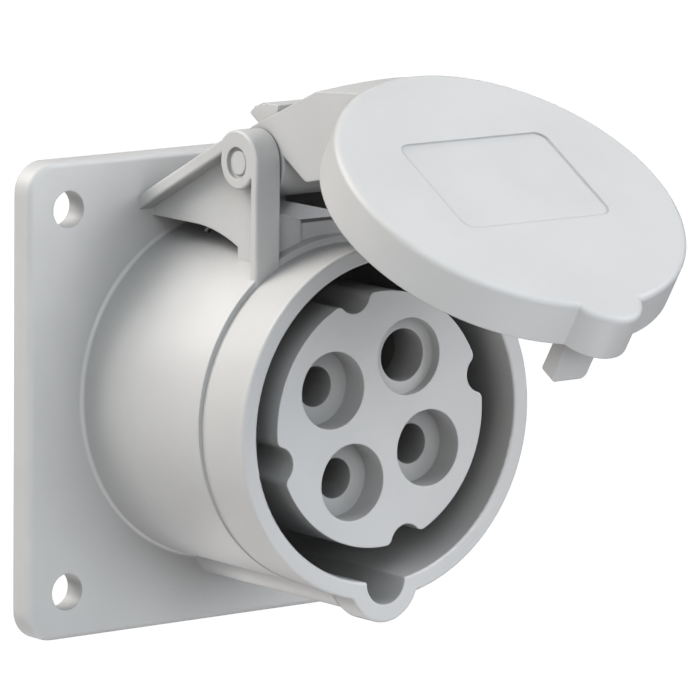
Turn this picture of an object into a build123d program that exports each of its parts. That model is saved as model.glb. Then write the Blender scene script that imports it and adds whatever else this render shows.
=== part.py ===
from build123d import *
from math import acos, asin, cos, degrees, radians, sin, sqrt
import os

# Flush panel socket for round industrial plugs: 16 A, three phases and earth, with a sprung lid.
# Frame: X to the right, Z up, the front faces -Y. The origin is the centre of the flange's back.
# A plane "at front distance f" is Plane.XZ.offset(f), so f runs from the panel towards the viewer.

# Flange
flange_side = 75.0
flange_t = 3.9
flange_corner_r = 4.8
flange_edge_r = 1.0
bolt_pitch = 60.0
bolt_hole_r = 2.9
seal_groove_r = (29.4, 33.0)
seal_t = 1.2

# Body, collar and the spigot that goes through the panel
body_r = 27.25
body_foot_r = 0.6
step_f = 33.9
collar_f = 45.66
collar_r = 27.8
collar_back_r = 26.7
collar_back_drop = 0.5
collar_edge_r = 0.35
shroud_r = 25.04
shroud_floor_f = 8.0
ledge_t = 3.0
ledge_hole_r = 20.2
spigot_r = 27.0
spigot_len = 7.0
rear_bore_r = 24.0

# Keyway at six o'clock, with the nose and the ridge that carry it outside
key_half_w = 3.7
key_z = -24.9
nose_r = 6.5
nose_len = 6.8
nose_back_len = 2.0
nose_back_taper = 18.0
ridge_r = 5.6

# Hinge: axis, ears, the hood wall between them and the sill in front of it. A root is how far a
# raised form starts inside the wall that carries it, and a match how near a picked size must be.
root = 0.5
match = 0.01
ear_root_z = 18.0
hinge_y = -29.0
hinge_z = 39.1
pin_r = 1.95
pin_fit = 0.02
pin_run = 0.05
pin_sink = 0.3
pin_chamfer = 0.2
ear_in_x = 12.2
ear_out_x = 16.7
ear_web_t = 1.7
ear_head_r = 5.1
ear_boss_r = 4.1
ear_bar_w = 1.6
ear_eye_r = 2.45
ear_eye_depth = 0.6
ear_edge_r = 0.4
rib_angle = 27.7
rib_top_d = 4.7
rib_t = 2.0
window_z = 27.9
window_curve_y = -16.0
window_front_y = -25.8
window_front_z = 25.6
window_sag = 0.7
hood_drop = 0.6
hood_t = 1.8
hood_start = 5.9
sill_z = 29.3
sill_f = 31.4
sill_t = 3.0
sill_root_z = 20.0
pad_in_x = 6.4
pad_top_x = 10.2
pad_z = 31.2
pad_in_z = 29.8
pad_t = 4.5
pad_proud = 0.5
pad_corner_r = 0.8

# Lid, drawn closed; it is turned to the half-open place at the end
lid_r = 27.9
lid_gap = 0.3
lid_t = 7.34
lid_plate_t = 2.4
lid_edge_r = 0.9
lid_wall_t = 1.6
lid_nose_r = 6.2
lid_nose_z = -25.3
lid_nose_wall_t = 1.3
field_w = 28.0
field_h = 20.0
field_z = 2.0
field_r = 2.0
field_depth = 0.3
lid_rib_r = (21.9, 23.3)
lid_rib_h = 3.7
lid_rib_gap = 1.0
tab_half_w = 3.3
tab_z = (-25.6, -22.9)
tab_back_f = 37.0
tab_corner_r = 1.0
open_at_rest = 58.7
open_more = 51.3

# Lid tongue with its two cheeks
tongue_gap = 0.3
cheek_t = 2.4
barrel_r = 5.6
tongue_angle = 34.6
tongue_t = 1.9
tongue_meet_z = 29.1
tongue_root_z = 20.0
bevel_slope = 1.28
cheek_back_y = -33.0
chin_z = 28.7
chin_r = 1.8
cheek_low_y = -37.0
cheek_low_z = 24.4
cheek_clear_r = 28.4
tongue_front_y = -44.5
ledge_half_w = 11.2
ledge_back_y = -32.9
ledge_top_z = 46.0
ledge_top_w = 1.1
ledge_slope_w = 2.4
ledge_slope_h = 1.9
ledge_front_w = 1.8
ledge_front_h = 3.1
ledge_groove_r = 0.35
crossbar_r = 1.0
crossbar_s = 8.5

# Round case of the spring, part of the tongue, with a slot for the spring's fixed leg
case_in_r = 3.9
case_slot_x = -7.3
case_slot_spare = 5.0
leg_slot_w = 1.9
leg_slot_low_d = 1.5

# Lid spring
wire_r = 0.5
coil_r = 2.75
coil_pitch = 1.25
coil_turns = 6
wire_sides = 8
coil_x = -4.2
fixed_leg_drop = 45.0
lid_leg_len = 11.0

# Lid seal
lid_seal_in_r = 23.6
lid_seal_gap = 0.05
lid_seal_lip = 0.24

# Contact carrier: the round insert, and the base disc behind the housing's ledge
carrier_f = 43.98
carrier_r = 19.88
notch_r = 3.0
notch_pitch_r = 20.5
notch_angle = 15.0
notch_mouth_r = 1.2
disc_r = 23.7
disc_front_f = 3.8
disc_back_f = -2.2
contact_pitch_r = 10.7
recess_r = 6.0
guide_f = 10.0
pocket_f = 1.0
fit = 0.05
seal_ring_r = (20.4, 23.6)

# Terminal block behind the carrier, its screws, and the clip that holds the carrier in
block_r = 21.0
block_back_f = -20.0
block_screw_r = 1.5
block_screw_pitch_r = 13.5
block_screw_head_r = 2.7
block_screw_head_h = 2.0
block_screw_seat_f = -16.0
block_screw_tip_f = 12.0
clip_r = (22.5, 24.95)
clip_t = 1.6
clip_groove_r = 25.0
clip_gap = 34.0

# Contacts: the phases take 5 mm pins, the earth a 7 mm pin; depths run from the insert's face
phase_bore_r = 2.55
phase_sleeve_r = 3.3
phase_shoulder_r = 5.0
phase_terminal_r = 4.0
phase_entry_r = 3.15
phase_recess_depth = 4.6
phase_wall_depth = 13.0
earth_bore_r = 3.55
earth_sleeve_r = 4.4
earth_shoulder_r = 5.4
earth_terminal_r = 4.4
earth_entry_r = 4.15
earth_recess_depth = 1.7
earth_wall_depth = 8.9
mouth_depth = 13.5
sleeve_bore_f = 2.0
sleeve_slot_f = 16.0
sleeve_slot_w = 0.7
ring_back = 4.0
ring_w = 1.2
ring_groove_depth = 0.25
ring_t = 0.7
ring_gap_w = 1.0
chamber_gap = 0.8
terminal_back_f = -19.0
wire_r_in = 1.8
wire_stop_f = -6.0
screw_f = -12.5
screw_r = 1.6
screw_head_r = 2.7
screw_head_h = 1.9
screw_slot_w = 0.7
screw_slot_d = 0.9
screw_clear = 0.15
head_clear = 0.2
tip_clear = 0.5
terminal_flat = 0.7
access_r = 3.2

# Worked out from the values above
phase = dict(bore_r=phase_bore_r, sleeve_r=phase_sleeve_r, shoulder_r=phase_shoulder_r, entry_r=phase_entry_r,
             terminal_r=phase_terminal_r, entry_f=carrier_f - phase_recess_depth,
             chamber_f=carrier_f - phase_wall_depth)
earth = dict(bore_r=earth_bore_r, sleeve_r=earth_sleeve_r, shoulder_r=earth_shoulder_r, entry_r=earth_entry_r,
             terminal_r=earth_terminal_r, entry_f=carrier_f - earth_recess_depth,
             chamber_f=carrier_f - earth_wall_depth)
contacts = {
    "earth": (60.0, earth),
    "l1": (150.0, phase),
    "l2": (240.0, phase),
    "l3": (330.0, phase),
}
mouth_f = carrier_f - mouth_depth
ring_f = mouth_f - ring_back
hinge_axis = Axis((0, hinge_y, hinge_z), (1, 0, 0))
closed_front_f = collar_f + lid_gap + lid_t
rim_f = collar_f + lid_gap
plate_back_f = closed_front_f - lid_plate_t
cheek_out_x = ear_in_x - tongue_gap
cheek_in_x = cheek_out_x - cheek_t


def front(f):
    """Plane parallel to the panel, f in front of it."""
    return Plane.XZ.offset(f)


def along(angle, d, s):
    """Point s along a line that falls to the back at the angle, d above the hinge axis."""
    a = radians(angle)
    y = hinge_y + d * sin(a) + s * cos(a)
    z = hinge_z + d * cos(a) - s * sin(a)
    return (y, z)


def tongue_point(d, s):
    """Point s along the lid's tongue from the hinge, d above the hinge axis, with the lid closed."""
    y, z = along(tongue_angle, d, s)
    return (2 * hinge_y - y, z)


def tongue_over(d, y):
    """Point of that line d above the hinge axis where it passes over y."""
    a = radians(tongue_angle)
    return tongue_point(d, (hinge_y - y - d * sin(a)) / cos(a))


def key_outline(round_r, half_w, centre_z):
    """Round hole with a keyway at six o'clock, inside a sketch."""
    Circle(round_r)
    with Locations((0, centre_z)):
        Circle(half_w)
    with Locations((0, centre_z / 2)):
        Rectangle(2 * half_w, -centre_z)


def contact_plane(angle, f):
    """Plane across a contact's axis, with its own x pointing away from the socket's axis."""
    a = radians(angle)
    out = (cos(a), 0, sin(a))
    centre = (contact_pitch_r * cos(a), -f, contact_pitch_r * sin(a))
    return Plane(origin=centre, x_dir=out, z_dir=(0, -1, 0))


def screw_plane(angle, radius):
    """Plane across a terminal screw's axis, facing away from the socket's axis."""
    a = radians(angle)
    out = (cos(a), 0, sin(a))
    r = contact_pitch_r + radius
    return Plane(origin=(r * cos(a), -screw_f, r * sin(a)), x_dir=(0, 1, 0), z_dir=out)


def save(piece, name):
    """Name one piece and write it to its own file."""
    piece.label = name
    export_step(piece, "parts/" + name + ".step")


os.makedirs("parts", exist_ok=True)

# Housing: flange, body, collar and hinge ears, moulded as one
rib_low_d = rib_top_d - rib_t
rib_foot = -flange_t + root
rib_reach = (rib_foot - hinge_y) / cos(radians(rib_angle))

with BuildPart() as housing:
    with BuildSketch(front(0)):
        RectangleRounded(flange_side, flange_side, flange_corner_r)
    extrude(amount=flange_t)
    fillet(housing.faces().sort_by(Axis.Y)[0].edges(), flange_edge_r)

    # Round body, with a small fillet where it leaves the flange
    with BuildSketch(front(flange_t)):
        Circle(body_r)
    extrude(amount=step_f - flange_t)
    body_foot = housing.edges().filter_by(GeomType.CIRCLE).filter_by(lambda e: abs(e.radius - body_r) < match)
    fillet(body_foot.sort_by(Axis.Y)[-1], body_foot_r)

    # Collar: flush with the body below, set in above, and flared to the front
    with BuildSketch(front(step_f)):
        with Locations((0, -collar_back_drop)):
            Circle(collar_back_r)
    with BuildSketch(front(collar_f)):
        Circle(collar_r)
    loft()

    # Ridge and nose round the keyway
    with BuildSketch(front(flange_t)):
        with Locations((0, key_z)):
            Circle(ridge_r)
    extrude(amount=collar_f - nose_len - flange_t + nose_back_len)
    with BuildSketch(front(collar_f)):
        with Locations((0, key_z)):
            Circle(nose_r)
    extrude(amount=-nose_len + nose_back_len)
    with BuildSketch(front(collar_f - nose_len + nose_back_len)):
        with Locations((0, key_z)):
            Circle(nose_r)
    extrude(amount=-nose_back_len, taper=nose_back_taper)

    # Hinge ears: a thin web with a raised frame of front bar, pin boss and slanting rib
    for side in (-1, 1):
        with BuildSketch(Plane.YZ.offset(side * ear_in_x)):
            with BuildLine():
                front_y = hinge_y - ear_head_r
                Polyline((window_front_y, ear_root_z), (front_y, ear_root_z), (front_y, hinge_z),
                         along(rib_angle, rib_top_d, 0), along(rib_angle, rib_top_d, rib_reach),
                         (rib_foot, window_z), (window_curve_y, window_z))
                ThreePointArc((window_curve_y, window_z),
                              ((window_curve_y + window_front_y) / 2, window_z - window_sag),
                              (window_front_y, window_front_z))
                Line((window_front_y, window_front_z), (window_front_y, ear_root_z))
            make_face()
            with Locations((hinge_y, hinge_z)):
                Circle(ear_head_r)
        extrude(amount=side * ear_web_t)
        with BuildSketch(Plane.YZ.offset(side * (ear_in_x + ear_web_t))):
            with Locations((hinge_y, hinge_z)):
                Circle(ear_head_r)
            with Locations((hinge_y - ear_head_r + ear_bar_w / 2, (ear_root_z + hinge_z) / 2)):
                Rectangle(ear_bar_w, hinge_z - ear_root_z)
            with BuildLine():
                Polyline(along(rib_angle, rib_top_d, 0), along(rib_angle, rib_top_d, rib_reach),
                         along(rib_angle, rib_low_d, rib_reach), along(rib_angle, rib_low_d, 0), close=True)
            make_face()
            with BuildLine():
                bar_y = hinge_y - ear_head_r + ear_bar_w
                Polyline((bar_y, ear_root_z), (bar_y, hinge_z), along(rib_angle, rib_low_d, 0),
                         along(rib_angle, rib_low_d, rib_reach), (rib_foot, ear_root_z), close=True)
            make_face(mode=Mode.SUBTRACT)
            with Locations((hinge_y, hinge_z)):
                Circle(ear_boss_r)
        extrude(amount=side * (ear_out_x - ear_in_x - ear_web_t))

    # Hood wall between the ears, under their ribs
    with BuildSketch(Plane.YZ):
        with BuildLine():
            hood_top = rib_top_d - hood_drop
            Polyline(along(rib_angle, hood_top, hood_start), along(rib_angle, hood_top, rib_reach),
                     along(rib_angle, hood_top - hood_t, rib_reach),
                     along(rib_angle, hood_top - hood_t, hood_start), close=True)
        make_face()
    extrude(amount=ear_in_x, both=True)

    # Sill between the ears, with a pad beside each ear that falls to the middle
    with BuildSketch(front(sill_f)):
        with Locations((0, (sill_root_z + sill_z) / 2)):
            Rectangle(2 * ear_in_x, sill_z - sill_root_z)
    extrude(amount=-sill_t)
    for side in (-1, 1):
        with BuildSketch(front(sill_f + pad_proud)) as pad_outline:
            with BuildLine():
                Polyline((side * ear_in_x, sill_root_z), (side * ear_in_x, pad_z), (side * pad_top_x, pad_z),
                         (side * pad_in_x, pad_in_z), (side * pad_in_x, sill_root_z), close=True)
            make_face()
            bend = pad_outline.vertices().filter_by(lambda v: v.Z > pad_in_z - root and abs(v.X) < ear_in_x - root)
            fillet(bend, pad_corner_r)
        extrude(amount=-pad_t)

    # Spigot behind the flange
    with BuildSketch(front(0)):
        Circle(spigot_r)
    extrude(amount=-spigot_len)

    # Plug way with its keyway, ledge hole, and rear bore with the clip's groove
    with BuildSketch(front(shroud_floor_f)):
        key_outline(shroud_r, key_half_w, key_z)
    extrude(amount=collar_f, mode=Mode.SUBTRACT)
    with BuildSketch(front(-spigot_len)):
        Circle(ledge_hole_r)
    extrude(amount=collar_f, mode=Mode.SUBTRACT)
    with BuildSketch(front(-spigot_len)):
        Circle(rear_bore_r)
    extrude(amount=spigot_len + shroud_floor_f - ledge_t, mode=Mode.SUBTRACT)
    with BuildSketch(front(disc_back_f)):
        Circle(clip_groove_r)
    extrude(amount=-clip_t, mode=Mode.SUBTRACT)

    # Bolt holes, hinge pin bore with its eyes, and the groove of the panel seal
    with BuildSketch(front(0)):
        with GridLocations(bolt_pitch, bolt_pitch, 2, 2):
            Circle(bolt_hole_r)
    extrude(amount=flange_t, mode=Mode.SUBTRACT)
    with BuildSketch(Plane.YZ):
        with Locations((hinge_y, hinge_z)):
            Circle(pin_r + pin_fit)
    extrude(amount=ear_out_x, both=True, mode=Mode.SUBTRACT)
    for side in (-1, 1):
        with BuildSketch(Plane.YZ.offset(side * ear_out_x)):
            with Locations((hinge_y, hinge_z)):
                Circle(ear_eye_r)
        extrude(amount=-side * ear_eye_depth, mode=Mode.SUBTRACT)
    with BuildSketch(front(0)):
        Circle(seal_groove_r[1])
        Circle(seal_groove_r[0], mode=Mode.SUBTRACT)
    extrude(amount=seal_t, mode=Mode.SUBTRACT)

    # Softened edges of the collar's rim and of the ears
    rim = housing.faces().sort_by(Axis.Y)[0]
    fillet(rim.outer_wire().edges(), collar_edge_r)
    mouth = housing.edges().filter_by(GeomType.CIRCLE).filter_by(lambda e: abs(e.radius - shroud_r) < match)
    fillet(mouth.sort_by(Axis.Y)[0], collar_edge_r)
    for side in (-1, 1):
        cheek = housing.faces().filter_by(Axis.X).sort_by(lambda f: -side * f.center().X)
        frame = cheek.filter_by(lambda f: abs(f.center().X - side * ear_out_x) < match)[0]
        fillet(frame.outer_wire().edges().filter_by(lambda e: e.length > 2 * ear_head_r), ear_edge_r)

save(housing.part, "housing")

with BuildPart() as panel_seal:
    with BuildSketch(front(0)):
        Circle(seal_groove_r[1] - fit)
        Circle(seal_groove_r[0] + fit, mode=Mode.SUBTRACT)
    extrude(amount=seal_t)

save(panel_seal.part, "panel_seal")

with BuildPart() as hinge_pin:
    with BuildSketch(Plane.YZ.offset(-ear_out_x + pin_sink)):
        with Locations((hinge_y, hinge_z)):
            Circle(pin_r)
    extrude(amount=2 * (ear_out_x - pin_sink))
    chamfer(hinge_pin.edges().filter_by(GeomType.CIRCLE), pin_chamfer)

save(hinge_pin.part, "hinge_pin")

# Torsion spring round the pin: one leg rests on the body, the other presses on the lid's crossbar
start_angle = 90 - fixed_leg_drop
end_angle = degrees(asin(cos(radians(open_at_rest - tongue_angle))))
turns = coil_turns + (end_angle - start_angle) / 360
coil_len = turns * coil_pitch
coil_plane = Plane(origin=(coil_x - coil_len / 2, hinge_y, hinge_z),
                   x_dir=(0, cos(radians(start_angle)), sin(radians(start_angle))), z_dir=(1, 0, 0))
coil = coil_plane.location * Helix(pitch=coil_pitch, height=coil_len, radius=coil_r)

# The fixed leg runs on until its wire lies on the round body
leg_start = coil @ 0
leg_way = coil % 0
across = leg_way.X ** 2 + leg_way.Z ** 2
reach = leg_start.X * leg_way.X + leg_start.Z * leg_way.Z
spare = leg_start.X ** 2 + leg_start.Z ** 2 - (body_r + wire_r) ** 2
fixed_leg_len = (reach - sqrt(reach ** 2 - across * spare)) / across
fixed_leg_end = leg_start - leg_way * fixed_leg_len
lid_leg_end = coil @ 1 + (coil % 1) * lid_leg_len

# Lid's tongue: its side outline between the ears, trimmed by the cone that falls from the plate's edge
with BuildPart() as tongue:
    with BuildSketch(Plane.YZ):
        with BuildLine():
            Polyline(tongue_point(barrel_r, 0), (-closed_front_f, tongue_meet_z),
                     (-closed_front_f, tongue_root_z),
                     (-rim_f, tongue_root_z), (-rim_f, cheek_low_z), (cheek_low_y, cheek_low_z),
                     (cheek_back_y, chin_z), (cheek_back_y, hinge_z), close=True)
        make_face()
        with Locations((hinge_y, hinge_z)):
            Circle(barrel_r)
    extrude(amount=cheek_out_x, both=True)
    with BuildSketch(Plane.XY):
        with BuildLine():
            cone_r = lid_r - lid_edge_r
            foot_r = cone_r + bevel_slope * closed_front_f
            Polyline((0, -closed_front_f), (cone_r, -closed_front_f), (foot_r, 0), (0, 0), close=True)
        make_face()
    revolve(axis=Axis.Y, mode=Mode.INTERSECT)
    chin = ShapeList(tongue.edges().filter_by(Axis.X)).sort_by(
        lambda e: abs(e.center().Y - cheek_back_y) + abs(e.center().Z - chin_z))[0]
    fillet(chin, chin_r)

# Lid's tab: it reaches into the keyway when the lid is closed
with BuildPart() as tab:
    with BuildSketch(front(plate_back_f)):
        with Locations((0, (tab_z[0] + tab_z[1]) / 2)):
            Rectangle(2 * tab_half_w, tab_z[1] - tab_z[0])
    extrude(amount=-(plate_back_f - tab_back_f))
    fillet(tab.edges().filter_by(Axis.Z).sort_by(Axis.Y)[-2:], tab_corner_r)

# Lid: plate, rim and nose, with the tongue and the tab
with BuildPart() as lid:
    with BuildSketch(front(rim_f)):
        Circle(lid_r)
        with Locations((0, lid_nose_z)):
            Circle(lid_nose_r)
    extrude(amount=lid_t)
    fillet(lid.faces().sort_by(Axis.Y)[0].edges(), lid_edge_r)
    add(tongue.part)

    # Ledge across the top of the tongue, with two grooves along its front slope
    top_y = ledge_back_y - ledge_top_w
    slope_y = top_y - ledge_slope_w
    slope_z = ledge_top_z - ledge_slope_h
    with BuildSketch(Plane.YZ):
        with BuildLine():
            Polyline((ledge_back_y, hinge_z), (ledge_back_y, ledge_top_z), (top_y, ledge_top_z),
                     (slope_y, slope_z), (slope_y - ledge_front_w, slope_z - ledge_front_h), close=True)
        make_face()
    extrude(amount=ledge_half_w, both=True)
    with BuildSketch(Plane.YZ):
        with Locations((top_y, ledge_top_z), (slope_y, slope_z)):
            Circle(ledge_groove_r)
    extrude(amount=ledge_half_w, both=True, mode=Mode.SUBTRACT)

    # Hollow of the rim and of the nose, and room for the collar behind it
    with BuildSketch(front(plate_back_f)):
        key_outline(lid_r - lid_wall_t, lid_nose_r - lid_nose_wall_t, lid_nose_z)
    extrude(amount=-(plate_back_f - rim_f), mode=Mode.SUBTRACT)
    with BuildSketch(front(rim_f)):
        Circle(cheek_clear_r)
    extrude(amount=-rim_f, mode=Mode.SUBTRACT)

    # Hollow of the tongue between its cheeks, open behind the ledge
    under = barrel_r - tongue_t
    with BuildSketch(Plane.YZ):
        with BuildLine():
            Polyline((ledge_back_y, ledge_top_z + root), tongue_over(under, ledge_back_y),
                     tongue_over(under, tongue_front_y), (tongue_front_y, 0), (0, 0), (0, ledge_top_z + root),
                     close=True)
        make_face()
    extrude(amount=cheek_in_x, both=True, mode=Mode.SUBTRACT)

    # Round case of the spring between the cheeks, with the slots of the spring's two legs
    with BuildSketch(Plane.YZ):
        with Locations((hinge_y, hinge_z)):
            Circle(barrel_r)
            Circle(case_in_r, mode=Mode.SUBTRACT)
    extrude(amount=cheek_in_x + root, both=True)
    slot_from = start_angle - degrees(acos(coil_r / barrel_r)) - case_slot_spare
    slot_to = start_angle - degrees(acos(coil_r / case_in_r)) + open_at_rest + open_more + case_slot_spare
    with BuildSketch(Plane.YZ.offset(-cheek_in_x)):
        with BuildLine():
            sides = [radians(a) for a in (slot_from, (slot_from + slot_to) / 2, slot_to)]
            far = [(hinge_y + 2 * barrel_r * cos(a), hinge_z + 2 * barrel_r * sin(a)) for a in sides]
            Polyline((hinge_y, hinge_z), *far, close=True)
        make_face()
    extrude(amount=cheek_in_x + case_slot_x, mode=Mode.SUBTRACT)
    with BuildSketch(Plane.YZ.offset((coil @ 1).X)):
        with BuildLine():
            Polyline(tongue_point(leg_slot_low_d, 0), tongue_point(under, 0), tongue_point(under, crossbar_s),
                     tongue_point(leg_slot_low_d, crossbar_s), close=True)
        make_face()
    extrude(amount=leg_slot_w / 2, both=True, mode=Mode.SUBTRACT)

    # Crossbar that the spring's leg presses on
    with BuildSketch(Plane.YZ):
        with Locations(tongue_point(coil_r - wire_r - crossbar_r, crossbar_s)):
            Circle(crossbar_r)
    extrude(amount=cheek_in_x + root, both=True)

    # Bores of the hinge pin
    with BuildSketch(Plane.YZ):
        with Locations((hinge_y, hinge_z)):
            Circle(pin_r + pin_run)
    extrude(amount=ear_out_x, both=True, mode=Mode.SUBTRACT)

    # Plain shallow field on the front, inner rib that holds the seal, and the tab
    with BuildSketch(front(closed_front_f)):
        with Locations((0, field_z)):
            RectangleRounded(field_w, field_h, field_r)
    extrude(amount=-field_depth, mode=Mode.SUBTRACT)
    with BuildSketch(front(plate_back_f)):
        Circle(lid_rib_r[1])
        Circle(lid_rib_r[0], mode=Mode.SUBTRACT)
        with Locations((0, -lid_r)):
            Rectangle(2 * (key_half_w + lid_rib_gap), lid_r, mode=Mode.SUBTRACT)
    extrude(amount=-lid_rib_h)
    add(tab.part)

save(lid.part.rotate(hinge_axis, -open_at_rest), "lid")

with BuildPart() as lid_gasket:
    seal_r = lid_r - lid_wall_t - lid_seal_gap
    seal_nose_r = lid_nose_r - lid_nose_wall_t - lid_seal_gap
    with BuildSketch(front(plate_back_f)):
        key_outline(seal_r, seal_nose_r, lid_nose_z)
    extrude(amount=-(plate_back_f - collar_f - lid_seal_lip))
    with BuildSketch(front(plate_back_f)):
        key_outline(lid_seal_in_r, key_half_w - fit, key_z)
    extrude(amount=-(plate_back_f - collar_f), mode=Mode.SUBTRACT)

save(lid_gasket.part.rotate(hinge_axis, -open_at_rest), "lid_gasket")

# The spring's wire: leg, coil and leg as one sweep
with BuildPart() as lid_spring:
    with BuildLine() as wire:
        Line(fixed_leg_end, coil @ 0)
        add(coil)
        Line(coil @ 1, lid_leg_end)
    with BuildSketch(Plane(origin=fixed_leg_end, z_dir=coil % 0)):
        RegularPolygon(wire_r, wire_sides)
    sweep(path=wire.wire())

save(lid_spring.part, "lid_spring")

# Contact carrier: the round insert with its four notches, its recesses and the ways of the contacts
with BuildPart() as contact_carrier:
    with BuildSketch(front(disc_front_f)) as insert_outline:
        Circle(carrier_r)
        with PolarLocations(notch_pitch_r, 4, start_angle=notch_angle):
            Circle(notch_r, mode=Mode.SUBTRACT)
        fillet(insert_outline.vertices(), notch_mouth_r)
    extrude(amount=carrier_f - disc_front_f)
    for angle, size in contacts.values():
        with BuildSketch(contact_plane(angle, size["entry_f"])):
            Circle(recess_r)
        extrude(amount=carrier_f, mode=Mode.SUBTRACT)
        with BuildSketch(contact_plane(angle, size["chamber_f"])):
            Circle(size["entry_r"])
        extrude(amount=carrier_f, mode=Mode.SUBTRACT)
        with BuildSketch(contact_plane(angle, guide_f)):
            Circle(size["sleeve_r"] + chamber_gap)
        extrude(amount=size["chamber_f"] - guide_f, mode=Mode.SUBTRACT)
        with BuildSketch(contact_plane(angle, disc_front_f)):
            Circle(size["sleeve_r"] + fit)
        extrude(amount=guide_f - disc_front_f, mode=Mode.SUBTRACT)
    with BuildSketch(front(disc_front_f)):
        with PolarLocations(block_screw_pitch_r, 2, start_angle=notch_angle):
            Circle(block_screw_r + pin_fit)
    extrude(amount=block_screw_tip_f - disc_front_f, mode=Mode.SUBTRACT)

save(contact_carrier.part, "contact_carrier")

# Base disc that the insert stands on: it lies behind the housing's ledge and holds the contacts' shoulders
with BuildPart() as carrier_base:
    with BuildSketch(front(disc_back_f)):
        Circle(disc_r)
    extrude(amount=disc_front_f - disc_back_f)
    for angle, size in contacts.values():
        with BuildSketch(contact_plane(angle, disc_back_f)):
            Circle(size["sleeve_r"] + fit)
        extrude(amount=disc_front_f - disc_back_f, mode=Mode.SUBTRACT)
        with BuildSketch(contact_plane(angle, disc_back_f)):
            Circle(size["shoulder_r"] + fit)
        extrude(amount=pocket_f - disc_back_f, mode=Mode.SUBTRACT)
    with BuildSketch(front(disc_back_f)):
        with PolarLocations(block_screw_pitch_r, 2, start_angle=notch_angle):
            Circle(block_screw_r + screw_clear)
    extrude(amount=disc_front_f - disc_back_f, mode=Mode.SUBTRACT)

save(carrier_base.part, "carrier_base")

with BuildPart() as carrier_seal:
    with BuildSketch(front(disc_front_f)):
        Circle(seal_ring_r[1])
        Circle(seal_ring_r[0], mode=Mode.SUBTRACT)
    extrude(amount=shroud_floor_f - ledge_t - disc_front_f)

save(carrier_seal.part, "carrier_seal")

# Open ring that snaps into the groove behind the carrier's disc
with BuildPart() as retaining_clip:
    with BuildSketch(front(disc_back_f)):
        Circle(clip_r[1])
        Circle(clip_r[0], mode=Mode.SUBTRACT)
        with BuildLine():
            half = radians(clip_gap / 2)
            wide = 2 * clip_r[1] * sin(half)
            high = 2 * clip_r[1] * cos(half)
            Polyline((0, 0), (wide, high), (-wide, high), close=True)
        make_face(mode=Mode.SUBTRACT)
    extrude(amount=-clip_t)

save(retaining_clip.part, "retaining_clip")

# Terminal block: holds the terminals from behind, open to the wires and to a screwdriver
with BuildPart() as terminal_block:
    with BuildSketch(front(disc_back_f)):
        Circle(block_r)
    extrude(amount=block_back_f - disc_back_f)
    for angle, size in contacts.values():
        with BuildSketch(contact_plane(angle, disc_back_f)):
            Circle(size["terminal_r"] + fit)
        extrude(amount=block_back_f - disc_back_f, mode=Mode.SUBTRACT)
        with BuildSketch(screw_plane(angle, 0)):
            Circle(access_r)
        extrude(amount=block_r, mode=Mode.SUBTRACT)
    with BuildSketch(front(block_back_f)):
        with PolarLocations(block_screw_pitch_r, 2, start_angle=notch_angle):
            Circle(block_screw_r + screw_clear)
    extrude(amount=disc_back_f - block_back_f, mode=Mode.SUBTRACT)
    with BuildSketch(front(block_back_f)):
        with PolarLocations(block_screw_pitch_r, 2, start_angle=notch_angle):
            Circle(block_screw_head_r + head_clear)
    extrude(amount=block_screw_seat_f - block_back_f, mode=Mode.SUBTRACT)

save(terminal_block.part, "terminal_block")

with BuildPart() as block_screws:
    with BuildSketch(front(block_screw_seat_f)):
        with PolarLocations(block_screw_pitch_r, 2, start_angle=notch_angle):
            Circle(block_screw_r)
    extrude(amount=block_screw_tip_f - tip_clear - block_screw_seat_f)
    with BuildSketch(front(block_screw_seat_f)):
        with PolarLocations(block_screw_pitch_r, 2, start_angle=notch_angle):
            Circle(block_screw_head_r)
    extrude(amount=-block_screw_head_h)
    with BuildSketch(front(block_screw_seat_f - block_screw_head_h)):
        with PolarLocations(block_screw_pitch_r, 2, start_angle=notch_angle):
            Rectangle(2 * block_screw_head_r, screw_slot_w)
    extrude(amount=screw_slot_d, mode=Mode.SUBTRACT)

save(block_screws.part, "block_screws")

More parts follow.
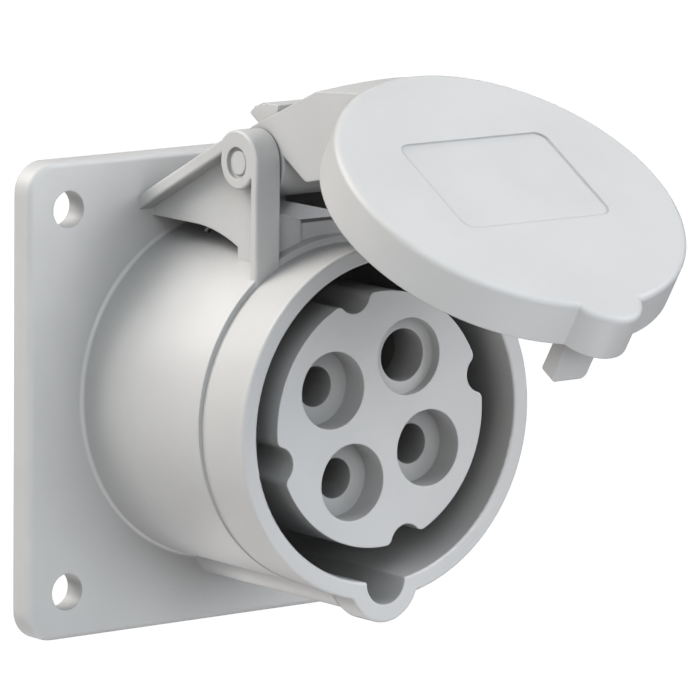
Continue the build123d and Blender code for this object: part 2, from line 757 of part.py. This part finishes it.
# Each pole: a turned sleeve with a terminal, the grip ring on its fingers, and the terminal screw
for pole, (angle, size) in contacts.items():
    seat = size["terminal_r"] - terminal_flat
    groove_r = size["sleeve_r"] - ring_groove_depth

    with BuildPart() as contact:
        with BuildSketch(contact_plane(angle, pocket_f)):
            Circle(size["sleeve_r"])
        extrude(amount=mouth_f - pocket_f)
        with BuildSketch(contact_plane(angle, disc_back_f)):
            Circle(size["shoulder_r"])
        extrude(amount=pocket_f - disc_back_f)
        with BuildSketch(contact_plane(angle, terminal_back_f)):
            Circle(size["terminal_r"])
        extrude(amount=disc_back_f - terminal_back_f)
        with BuildSketch(contact_plane(angle, sleeve_bore_f)):
            Circle(size["bore_r"])
        extrude(amount=mouth_f, mode=Mode.SUBTRACT)
        with BuildSketch(contact_plane(angle, ring_f - ring_w / 2)):
            Circle(2 * size["sleeve_r"])
            Circle(groove_r, mode=Mode.SUBTRACT)
        extrude(amount=ring_w, mode=Mode.SUBTRACT)
        with BuildSketch(contact_plane(angle, sleeve_slot_f)):
            Rectangle(3 * size["sleeve_r"], sleeve_slot_w)
            Rectangle(sleeve_slot_w, 3 * size["sleeve_r"])
        extrude(amount=mouth_f, mode=Mode.SUBTRACT)
        with BuildSketch(contact_plane(angle, terminal_back_f)):
            Circle(wire_r_in)
        extrude(amount=wire_stop_f - terminal_back_f, mode=Mode.SUBTRACT)
        with BuildSketch(screw_plane(angle, 0)):
            Circle(screw_r + pin_fit)
        extrude(amount=2 * size["terminal_r"], mode=Mode.SUBTRACT)
        with BuildSketch(screw_plane(angle, seat)):
            Rectangle(2 * (screw_head_r + head_clear), 2 * size["terminal_r"])
        extrude(amount=size["terminal_r"], mode=Mode.SUBTRACT)
    save(contact.part, "contact_" + pole)

    with BuildPart() as grip_ring:
        with BuildSketch(contact_plane(angle, ring_f - ring_w / 2 + fit)):
            Circle(groove_r + fit + ring_t)
            Circle(groove_r + fit, mode=Mode.SUBTRACT)
            with Locations((groove_r, 0)):
                Rectangle(4 * ring_t, ring_gap_w, mode=Mode.SUBTRACT)
        extrude(amount=ring_w - 2 * fit)
    save(grip_ring.part, "grip_ring_" + pole)

    with BuildPart() as terminal_screw:
        with BuildSketch(screw_plane(angle, wire_r_in)):
            Circle(screw_r)
        extrude(amount=seat - wire_r_in)
        with BuildSketch(screw_plane(angle, seat)):
            Circle(screw_head_r)
        extrude(amount=screw_head_h)
        with BuildSketch(screw_plane(angle, seat + screw_head_h)):
            Rectangle(screw_slot_w, 2 * screw_head_r)
        extrude(amount=-screw_slot_d, mode=Mode.SUBTRACT)
    save(terminal_screw.part, "terminal_screw_" + pole)
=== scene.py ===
# %% [markdown]
# # An industrial panel socket
#
# The object is a light grey panel socket: a square flange with a round body, a hinged lid that stands
# half open, and a round insert with four recessed contact holes. The construction comes from the packed
# model, which is loaded as a fixed frame in metres. This lesson gives it its looks: the camera, the
# studio, a finish for every piece, and a copy of the lid's spring wire.

# %% Load the imported model
from math import cos, radians, sin

import bmesh
import bpy
from mathutils import Matrix, Vector


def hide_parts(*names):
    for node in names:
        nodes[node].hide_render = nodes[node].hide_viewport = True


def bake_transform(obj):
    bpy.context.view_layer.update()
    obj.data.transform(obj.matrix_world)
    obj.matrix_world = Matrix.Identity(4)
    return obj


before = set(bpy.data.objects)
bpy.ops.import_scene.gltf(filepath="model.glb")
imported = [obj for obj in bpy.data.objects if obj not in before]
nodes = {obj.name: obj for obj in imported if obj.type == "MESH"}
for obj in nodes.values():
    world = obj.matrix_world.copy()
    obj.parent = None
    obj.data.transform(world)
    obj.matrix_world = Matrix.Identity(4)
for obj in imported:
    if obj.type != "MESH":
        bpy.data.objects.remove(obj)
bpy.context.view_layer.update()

MM = 0.001

# %% [markdown]
# ## The camera
#
# A product photo like this one is taken from far away with a long lens, so parallel edges stay nearly
# parallel. The camera is described the way a photographer would: the point it looks at, its direction
# round and above the object, its distance, and a very small roll. A matrix built from the three
# directions places it exactly, which is easier to check than a tracking constraint.

# %% Camera
look_at = Vector((4.839, -30.0, 8.395)) * MM
azimuth, elevation, roll = radians(-38.061), radians(9.431), radians(0.588)
distance = 1.1538
focal_ratio = 6.47
photo_px = 700
sensor_mm = 36.0


def camera_axes():
    """Right, up and back of the camera, with its roll."""
    back = Vector((sin(azimuth) * cos(elevation), -cos(azimuth) * cos(elevation), sin(elevation)))
    level = Vector((cos(azimuth), sin(azimuth), 0.0))
    rise = back.cross(level)
    right = level * cos(roll) + rise * sin(roll)
    up = rise * cos(roll) - level * sin(roll)
    return right, up, back


right, up, back = camera_axes()
lens = bpy.data.cameras.new("photo_lens")
lens.sensor_width = sensor_mm
lens.lens = focal_ratio * distance / MM / photo_px * sensor_mm
lens.clip_start, lens.clip_end = 0.05, 30.0
camera = bpy.data.objects.new("photo_camera", lens)
bpy.context.scene.collection.objects.link(camera)
place = Matrix((right, up, back)).transposed().to_4x4()
place.translation = look_at + back * distance
camera.matrix_world = place
bpy.context.scene.camera = camera
print("lens", round(lens.lens, 1), "mm, camera at", [round(c, 3) for c in place.translation])

# %% [markdown]
# ## The studio
#
# The photo has a white ground and no shadow under the object, because the socket is made to hang on a
# panel. The floor therefore lies well below, and it meets a round backdrop far behind, as in a photo
# studio, so every view has the same plain pale ground. The two are one mesh: a sphere that is cut off at
# the floor's height and closed there. Only the camera sees them, so they neither light nor shade the
# object.

# %% Floor and backdrop
scene = bpy.context.scene
scene.view_settings.view_transform = "Standard"
floor_z = -1.60
backdrop_r = 4.0
backdrop_parts = (48, 24)


def principled(name):
    """New node material: returns it with its node tree and its shader."""
    material = bpy.data.materials.new(name)
    material.use_nodes = True
    tree = material.node_tree
    return material, tree, tree.nodes["Principled BSDF"]


floor_material, tree, shader = principled("pale_floor")
shader.inputs["Base Color"].default_value = (0.86, 0.86, 0.86, 1.0)
shader.inputs["Roughness"].default_value = 0.8
shader.inputs["Emission Color"].default_value = (1.0, 1.0, 1.0, 1.0)
shader.inputs["Emission Strength"].default_value = 1.0
bm = bmesh.new()
bmesh.ops.create_uvsphere(bm, u_segments=backdrop_parts[0], v_segments=backdrop_parts[1], radius=backdrop_r)
whole = bm.verts[:] + bm.edges[:] + bm.faces[:]
cut = bmesh.ops.bisect_plane(bm, geom=whole, plane_co=(0.0, 0.0, floor_z), plane_no=(0.0, 0.0, 1.0),
                             clear_inner=True)
rim = [piece for piece in cut["geom_cut"] if isinstance(piece, bmesh.types.BMEdge)]
bmesh.ops.contextual_create(bm, geom=rim)
bmesh.ops.reverse_faces(bm, faces=bm.faces)
floor_mesh = bpy.data.meshes.new("floor")
bm.to_mesh(floor_mesh)
bm.free()
floor = bpy.data.objects.new("floor", floor_mesh)
floor_mesh.materials.append(floor_material)
scene.collection.objects.link(floor)
floor.visible_diffuse = False
floor.visible_glossy = False
floor.visible_shadow = False
print("floor", -floor_z, "m below, backdrop", backdrop_r, "m round,", len(floor_mesh.polygons), "faces")

# %% [markdown]
# ## The light
#
# Soft boxes stand all round, as in a light tent, in a sky that is nearly dark. The strongest box is
# behind the object at the upper left: the flange shades the body from it, so the body is dark at its
# foot and brightens towards the collar. The boxes on that side are slightly warm, and the ones in front
# are slightly cool.

# %% Sky and soft boxes
sky_tint = (0.93, 0.96, 1.0, 1.0)
sky_strength = 0.06
sky = bpy.data.worlds.new("studio_sky")
sky.use_nodes = True
sky.node_tree.nodes["Background"].inputs["Color"].default_value = sky_tint
sky.node_tree.nodes["Background"].inputs["Strength"].default_value = sky_strength
scene.world = sky


def soft_box(name, direction, reach, size, watts, tint):
    """Square area light that looks at the object from a direction."""
    light = bpy.data.lights.new(name, "AREA")
    light.shape = "SQUARE"
    light.size = size
    light.energy = watts
    light.color = tint
    box = bpy.data.objects.new(name, light)
    way = Vector(direction).normalized()
    box.matrix_world = way.to_track_quat("Z", "Y").to_matrix().to_4x4()
    box.location = look_at + way * reach
    scene.collection.objects.link(box)


# name, direction from the object, distance and size in metres, watts, tint
soft_boxes = [
    ("behind_left", (-0.7, 0.7, 0.9), 1.0, 0.7, 11.6, (1.00, 0.955, 0.91)),
    ("above_right", (1.0, -0.7, 0.9), 1.0, 0.6, 6.8, (0.98, 0.98, 1.00)),
    ("in_front", (0.0, -1.0, 0.15), 1.2, 0.6, 4.4, (0.94, 0.97, 1.00)),
    ("under", (0.0, -0.3, -1.0), 1.0, 0.6, 3.2, (0.98, 0.965, 0.98)),
    ("behind_low", (0.0, 0.7, -1.0), 1.0, 0.7, 2.9, (1.00, 0.96, 0.94)),
    ("upper_left", (-0.8, -1.0, 1.0), 1.0, 0.5, 2.5, (0.84, 0.93, 1.00)),
    ("left_front", (-1.0, -1.0, 0.4), 1.0, 0.6, 2.2, (1.00, 0.98, 0.96)),
    ("left_low", (-1.0, -0.5, -0.5), 1.0, 0.6, 1.5, (1.00, 0.975, 0.94)),
    ("right_front", (0.9, -1.0, 0.0), 1.2, 0.6, 1.1, (0.84, 0.88, 1.00)),
    ("left_behind_low", (-1.0, 0.6, -0.5), 1.0, 0.7, 0.5, (1.00, 0.96, 0.91)),
]
for one_box in soft_boxes:
    soft_box(*one_box)
print(len(soft_boxes), "soft boxes with", round(sum(one_box[4] for one_box in soft_boxes), 1), "watts in all")

# %% [markdown]
# ## What the finishes share
#
# No real surface is one flat colour. Every finish here starts from a noise in the piece's own
# coordinates, so its pattern stays with the piece when the lid swings. A ramp turns the noise into two
# nearby tones, the same noise breaks the shine, and as a bump it gives the surface its fine relief.

# %% Helpers for noise, tones, shine and relief


def node(tree, kind, **sockets):
    """New shader node with some of its inputs set."""
    made = tree.nodes.new(kind)
    for key, value in sockets.items():
        made.inputs[key.replace("_", " ")].default_value = value
    return made


def place_on(tree, noise, scale=None):
    """Lets a noise follow the piece's own coordinates, stretched by a scale for each axis if one is given."""
    where = tree.nodes.new("ShaderNodeTexCoord")
    vector = where.outputs["Object"]
    if scale:
        stretch = node(tree, "ShaderNodeMapping", Scale=scale)
        tree.links.new(vector, stretch.inputs["Vector"])
        vector = stretch.outputs["Vector"]
    tree.links.new(vector, noise.inputs["Vector"])
    return noise.outputs["Fac"]


def tones_of(tree, noise, low, high, start=0.0, end=1.0):
    """Colours between two tones, along a noise."""
    ramp = tree.nodes.new("ShaderNodeValToRGB")
    first, last = ramp.color_ramp.elements
    first.color, first.position = [*low, 1.0], start
    last.color, last.position = [*high, 1.0], end
    tree.links.new(noise, ramp.inputs["Fac"])
    return ramp.outputs["Color"]


def break_shine(tree, shader, noise, low, high):
    """Roughness between two values, along a noise."""
    shine = node(tree, "ShaderNodeMapRange", To_Min=low, To_Max=high)
    tree.links.new(noise, shine.inputs["Value"])
    tree.links.new(shine.outputs["Result"], shader.inputs["Roughness"])


def relief(tree, shader, noise, strength, depth_mm, normal=None):
    """Bump from a noise, on top of a normal if one is given."""
    bump = node(tree, "ShaderNodeBump", Strength=strength, Distance=depth_mm * MM)
    tree.links.new(noise, bump.inputs["Height"])
    if normal:
        tree.links.new(normal, bump.inputs["Normal"])
    tree.links.new(bump.outputs["Normal"], shader.inputs["Normal"])


print("surface helpers ready")

# %% [markdown]
# ## Edges and hollows
#
# Two things are painted into a surface's colour here. Its edges are slightly rounded and get a painted
# highlight, so they look a little lighter. A Bevel node bends the normals there, and the angle between the
# bent and the flat normal tells where an edge is. Deep hollows and inside corners get painted shade: an
# Ambient Occlusion node finds them and lowers the tone.

# %% Painted highlights on edges and painted shade in hollows
edge_begins, edge_is_full = 0.995, 0.80
shade_is_full, shade_begins = 0.05, 0.85


def with_edge_highlight(tree, colour, rounded, lift):
    """A colour raised towards white where the rounded normal leaves the flat one: a painted highlight on
    edges.
    """
    flat = tree.nodes.new("ShaderNodeNewGeometry")
    turn = tree.nodes.new("ShaderNodeVectorMath")
    turn.operation = "DOT_PRODUCT"
    tree.links.new(rounded, turn.inputs[0])
    tree.links.new(flat.outputs["Normal"], turn.inputs[1])
    edge = node(tree, "ShaderNodeMapRange", From_Min=edge_begins, From_Max=edge_is_full,
                To_Min=0.0, To_Max=lift)
    tree.links.new(turn.outputs["Value"], edge.inputs["Value"])
    lighter = tree.nodes.new("ShaderNodeMix")
    lighter.data_type = "RGBA"
    lighter.inputs["B"].default_value = (1.0, 1.0, 1.0, 1.0)
    tree.links.new(edge.outputs["Result"], lighter.inputs["Factor"])
    tree.links.new(colour, lighter.inputs["A"])
    return lighter.outputs["Result"]


def with_painted_shade(tree, colour, reach_mm, least):
    """Painted shade: a colour lowered where walls stand close round, down to its least share in a deep
    hollow.
    """
    hollow = node(tree, "ShaderNodeAmbientOcclusion", Distance=reach_mm * MM)
    hollow.samples = 8
    share = node(tree, "ShaderNodeMapRange", From_Min=shade_is_full, From_Max=shade_begins,
                 To_Min=least, To_Max=1.0)
    tree.links.new(hollow.outputs["AO"], share.inputs["Value"])
    shaded_colour = tree.nodes.new("ShaderNodeMix")
    shaded_colour.data_type = "RGBA"
    shaded_colour.blend_type = "MULTIPLY"
    shaded_colour.inputs["Factor"].default_value = 1.0
    tree.links.new(colour, shaded_colour.inputs["A"])
    tree.links.new(share.outputs["Result"], shaded_colour.inputs["B"])
    return shaded_colour.outputs["Result"]


print("an edge shows from", edge_begins, "down, a hollow from", shade_begins, "down")

# %% [markdown]
# ## Moulded plastic
#
# The housing, the lid, the insert and the pin are injection moulded in the same light grey, and the rear
# block in a dark one. The tone drifts a little over the part, and the spark-eroded mould leaves a very
# fine grain. One function makes them all, so that they stay one family, and each keeps its own gloss.

# %% Moulded plastic


def moulded(name, tone, drift=0.03, rough=0.42, grain_mm=0.16, grain_depth_mm=0.004, edge_mm=0.35,
            edge_highlight=0.10, shade_reach_mm=22.0, shade_least=0.44):
    """Moulded plastic: a drifting tone, fine grain, rounded edges with a painted highlight, painted shade in
    hollows.
    """
    material, tree, shader = principled(name)
    clouds = place_on(tree, node(tree, "ShaderNodeTexNoise", Scale=55.0, Detail=3.0, Roughness=0.55))
    low = [c * (1.0 - drift) for c in tone]
    high = [min(1.0, c * (1.0 + drift)) for c in tone]
    colour = tones_of(tree, clouds, low, high, start=0.3, end=0.7)

    bevel = node(tree, "ShaderNodeBevel", Radius=edge_mm * MM)
    bevel.samples = 6
    rounded = bevel.outputs["Normal"]
    # painted highlight: the colour is raised towards white along edges
    colour = with_edge_highlight(tree, colour, rounded, edge_highlight)
    # painted shade: the colour is lowered in hollows and inside corners
    tree.links.new(with_painted_shade(tree, colour, shade_reach_mm, shade_least), shader.inputs["Base Color"])

    grain_scale = 1.0 / (grain_mm * MM)
    grain = place_on(tree, node(tree, "ShaderNodeTexNoise", Scale=grain_scale, Detail=2.0, Roughness=0.6))
    relief(tree, shader, grain, 0.35, grain_depth_mm, rounded)
    break_shine(tree, shader, grain, rough - 0.04, rough + 0.05)
    shader.inputs["IOR"].default_value = 1.5
    return material


light_grey = (0.575, 0.58, 0.58)
insert_grey = [c * 0.97 for c in light_grey]
dark_grey = (0.055, 0.058, 0.062)
housing_finish = moulded("housing_finish", light_grey)
lid_finish = moulded("lid_finish", light_grey)
insert_finish = moulded("insert_finish", insert_grey, rough=0.46)
pin_finish = moulded("pin_finish", light_grey, rough=0.38, edge_mm=0.15)
block_finish = moulded("block_finish", dark_grey, drift=0.10, rough=0.5, edge_highlight=0.03)
print("light grey", light_grey, "and dark grey", dark_grey)

# %% [markdown]
# ## Metals
#
# The contacts are turned brass, so their finish has fine rings round each axis, which the light breaks
# on. Springs are drawn wire and the screws are zinc plated. All three are one noise that is squeezed
# along one axis into streaks. Deep in their holes hardly any light reaches them, so painted shade makes
# their hollows nearly black.

# %% Metals


def metal(name, tone, tint_drift, rough, streak_scale, streak_axis, cross_scale=90.0, shade_reach_mm=8.0,
          shade_least=0.05):
    """Turned or drawn metal: streaks across one axis break its tone and its shine, and painted shade darkens
    its hollows.
    """
    material, tree, shader = principled(name)
    squeeze = [streak_scale if axis == streak_axis else cross_scale for axis in "XYZ"]
    streaks = place_on(tree, node(tree, "ShaderNodeTexNoise", Scale=1.0, Detail=4.0, Roughness=0.65), squeeze)
    low = [c * (1.0 - tint_drift) for c in tone]
    high = [min(1.0, c * (1.0 + tint_drift)) for c in tone]
    colour = tones_of(tree, streaks, low, high)
    # painted shade: the colour is lowered deep in holes, nearly to black
    tree.links.new(with_painted_shade(tree, colour, shade_reach_mm, shade_least), shader.inputs["Base Color"])
    break_shine(tree, shader, streaks, rough - 0.08, rough + 0.12)
    bevel = node(tree, "ShaderNodeBevel", Radius=0.12 * MM)
    relief(tree, shader, streaks, 0.3, 0.006, bevel.outputs["Normal"])
    shader.inputs["Metallic"].default_value = 1.0
    return material


brass_finish = metal("brass_finish", (0.72, 0.53, 0.27), 0.12, 0.30, 3500.0, "Y")
wire_finish = metal("wire_finish", (0.56, 0.56, 0.57), 0.10, 0.32, 2500.0, "X")
zinc_finish = metal("zinc_finish", (0.66, 0.67, 0.70), 0.10, 0.36, 1800.0, "Y")
print("metals:", brass_finish.name, wire_finish.name, zinc_finish.name)

# %% [markdown]
# ## Rubber
#
# The seals are nearly black and the lid's gasket is grey. Rubber is matt, with dust in its pores, and it
# has a faint sheen at a low angle, which the shader's own sheen gives.

# %% Rubber


def rubber(name, tone):
    """Matt rubber: dust in its pores and a soft sheen."""
    material, tree, shader = principled(name)
    pores = place_on(tree, node(tree, "ShaderNodeTexNoise", Scale=2200.0, Detail=3.0, Roughness=0.7))
    clean, dusty = [c * 0.8 for c in tone], [c * 1.3 + 0.01 for c in tone]
    tree.links.new(tones_of(tree, pores, clean, dusty), shader.inputs["Base Color"])
    relief(tree, shader, pores, 0.4, 0.02)
    shader.inputs["Roughness"].default_value = 0.72
    shader.inputs["Sheen Weight"].default_value = 0.2
    return material


black_rubber = rubber("black_rubber_finish", (0.022, 0.022, 0.023))
grey_rubber = rubber("grey_rubber_finish", (0.16, 0.16, 0.165))
print("rubbers:", black_rubber.name, grey_rubber.name)

# %% [markdown]
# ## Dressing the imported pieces
#
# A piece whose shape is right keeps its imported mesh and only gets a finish. The names of the poles are
# used to find the four contacts, their grip rings and their screws.

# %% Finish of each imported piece
poles = ("earth", "l1", "l2", "l3")
finishes = {
    "housing": housing_finish,
    "lid": lid_finish,
    "contact_carrier": insert_finish,
    "carrier_base": insert_finish,
    "hinge_pin": pin_finish,
    "terminal_block": block_finish,
    "panel_seal": black_rubber,
    "carrier_seal": black_rubber,
    "lid_gasket": grey_rubber,
    "retaining_clip": wire_finish,
    "block_screws": zinc_finish,
}
for pole in poles:
    finishes["contact_" + pole] = brass_finish
    finishes["grip_ring_" + pole] = wire_finish
    finishes["terminal_screw_" + pole] = zinc_finish

for name, finish in finishes.items():
    nodes[name].data.materials.clear()
    nodes[name].data.materials.append(finish)
print("dressed", len(finishes), "of", len(nodes), "pieces")

# %% [markdown]
# ## The lid's spring
#
# The spring is one wire: its left leg rests on the round body, its right leg presses on the lid, and the
# coil between them winds up as the lid swings. A rigid piece could follow only one of the two, and its
# other leg would stick out. Here a copy of the imported wire, with its doubled points merged, stands for
# it, and the imported wire is hidden.

# %% Copy of the lid's spring wire
merge_mm = 0.001
wire_mesh = nodes["lid_spring"].data.copy()
wire_mesh.name = "winding_spring"
bm = bmesh.new()
bm.from_mesh(wire_mesh)
bmesh.ops.remove_doubles(bm, verts=bm.verts, dist=merge_mm * MM)
bmesh.ops.recalc_face_normals(bm, faces=bm.faces)
bm.to_mesh(wire_mesh)
bm.free()
wire_mesh.materials.clear()
wire_mesh.materials.append(wire_finish)
winding_spring = bpy.data.objects.new("winding_spring", wire_mesh)
scene.collection.objects.link(winding_spring)
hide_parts("lid_spring")
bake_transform(winding_spring)
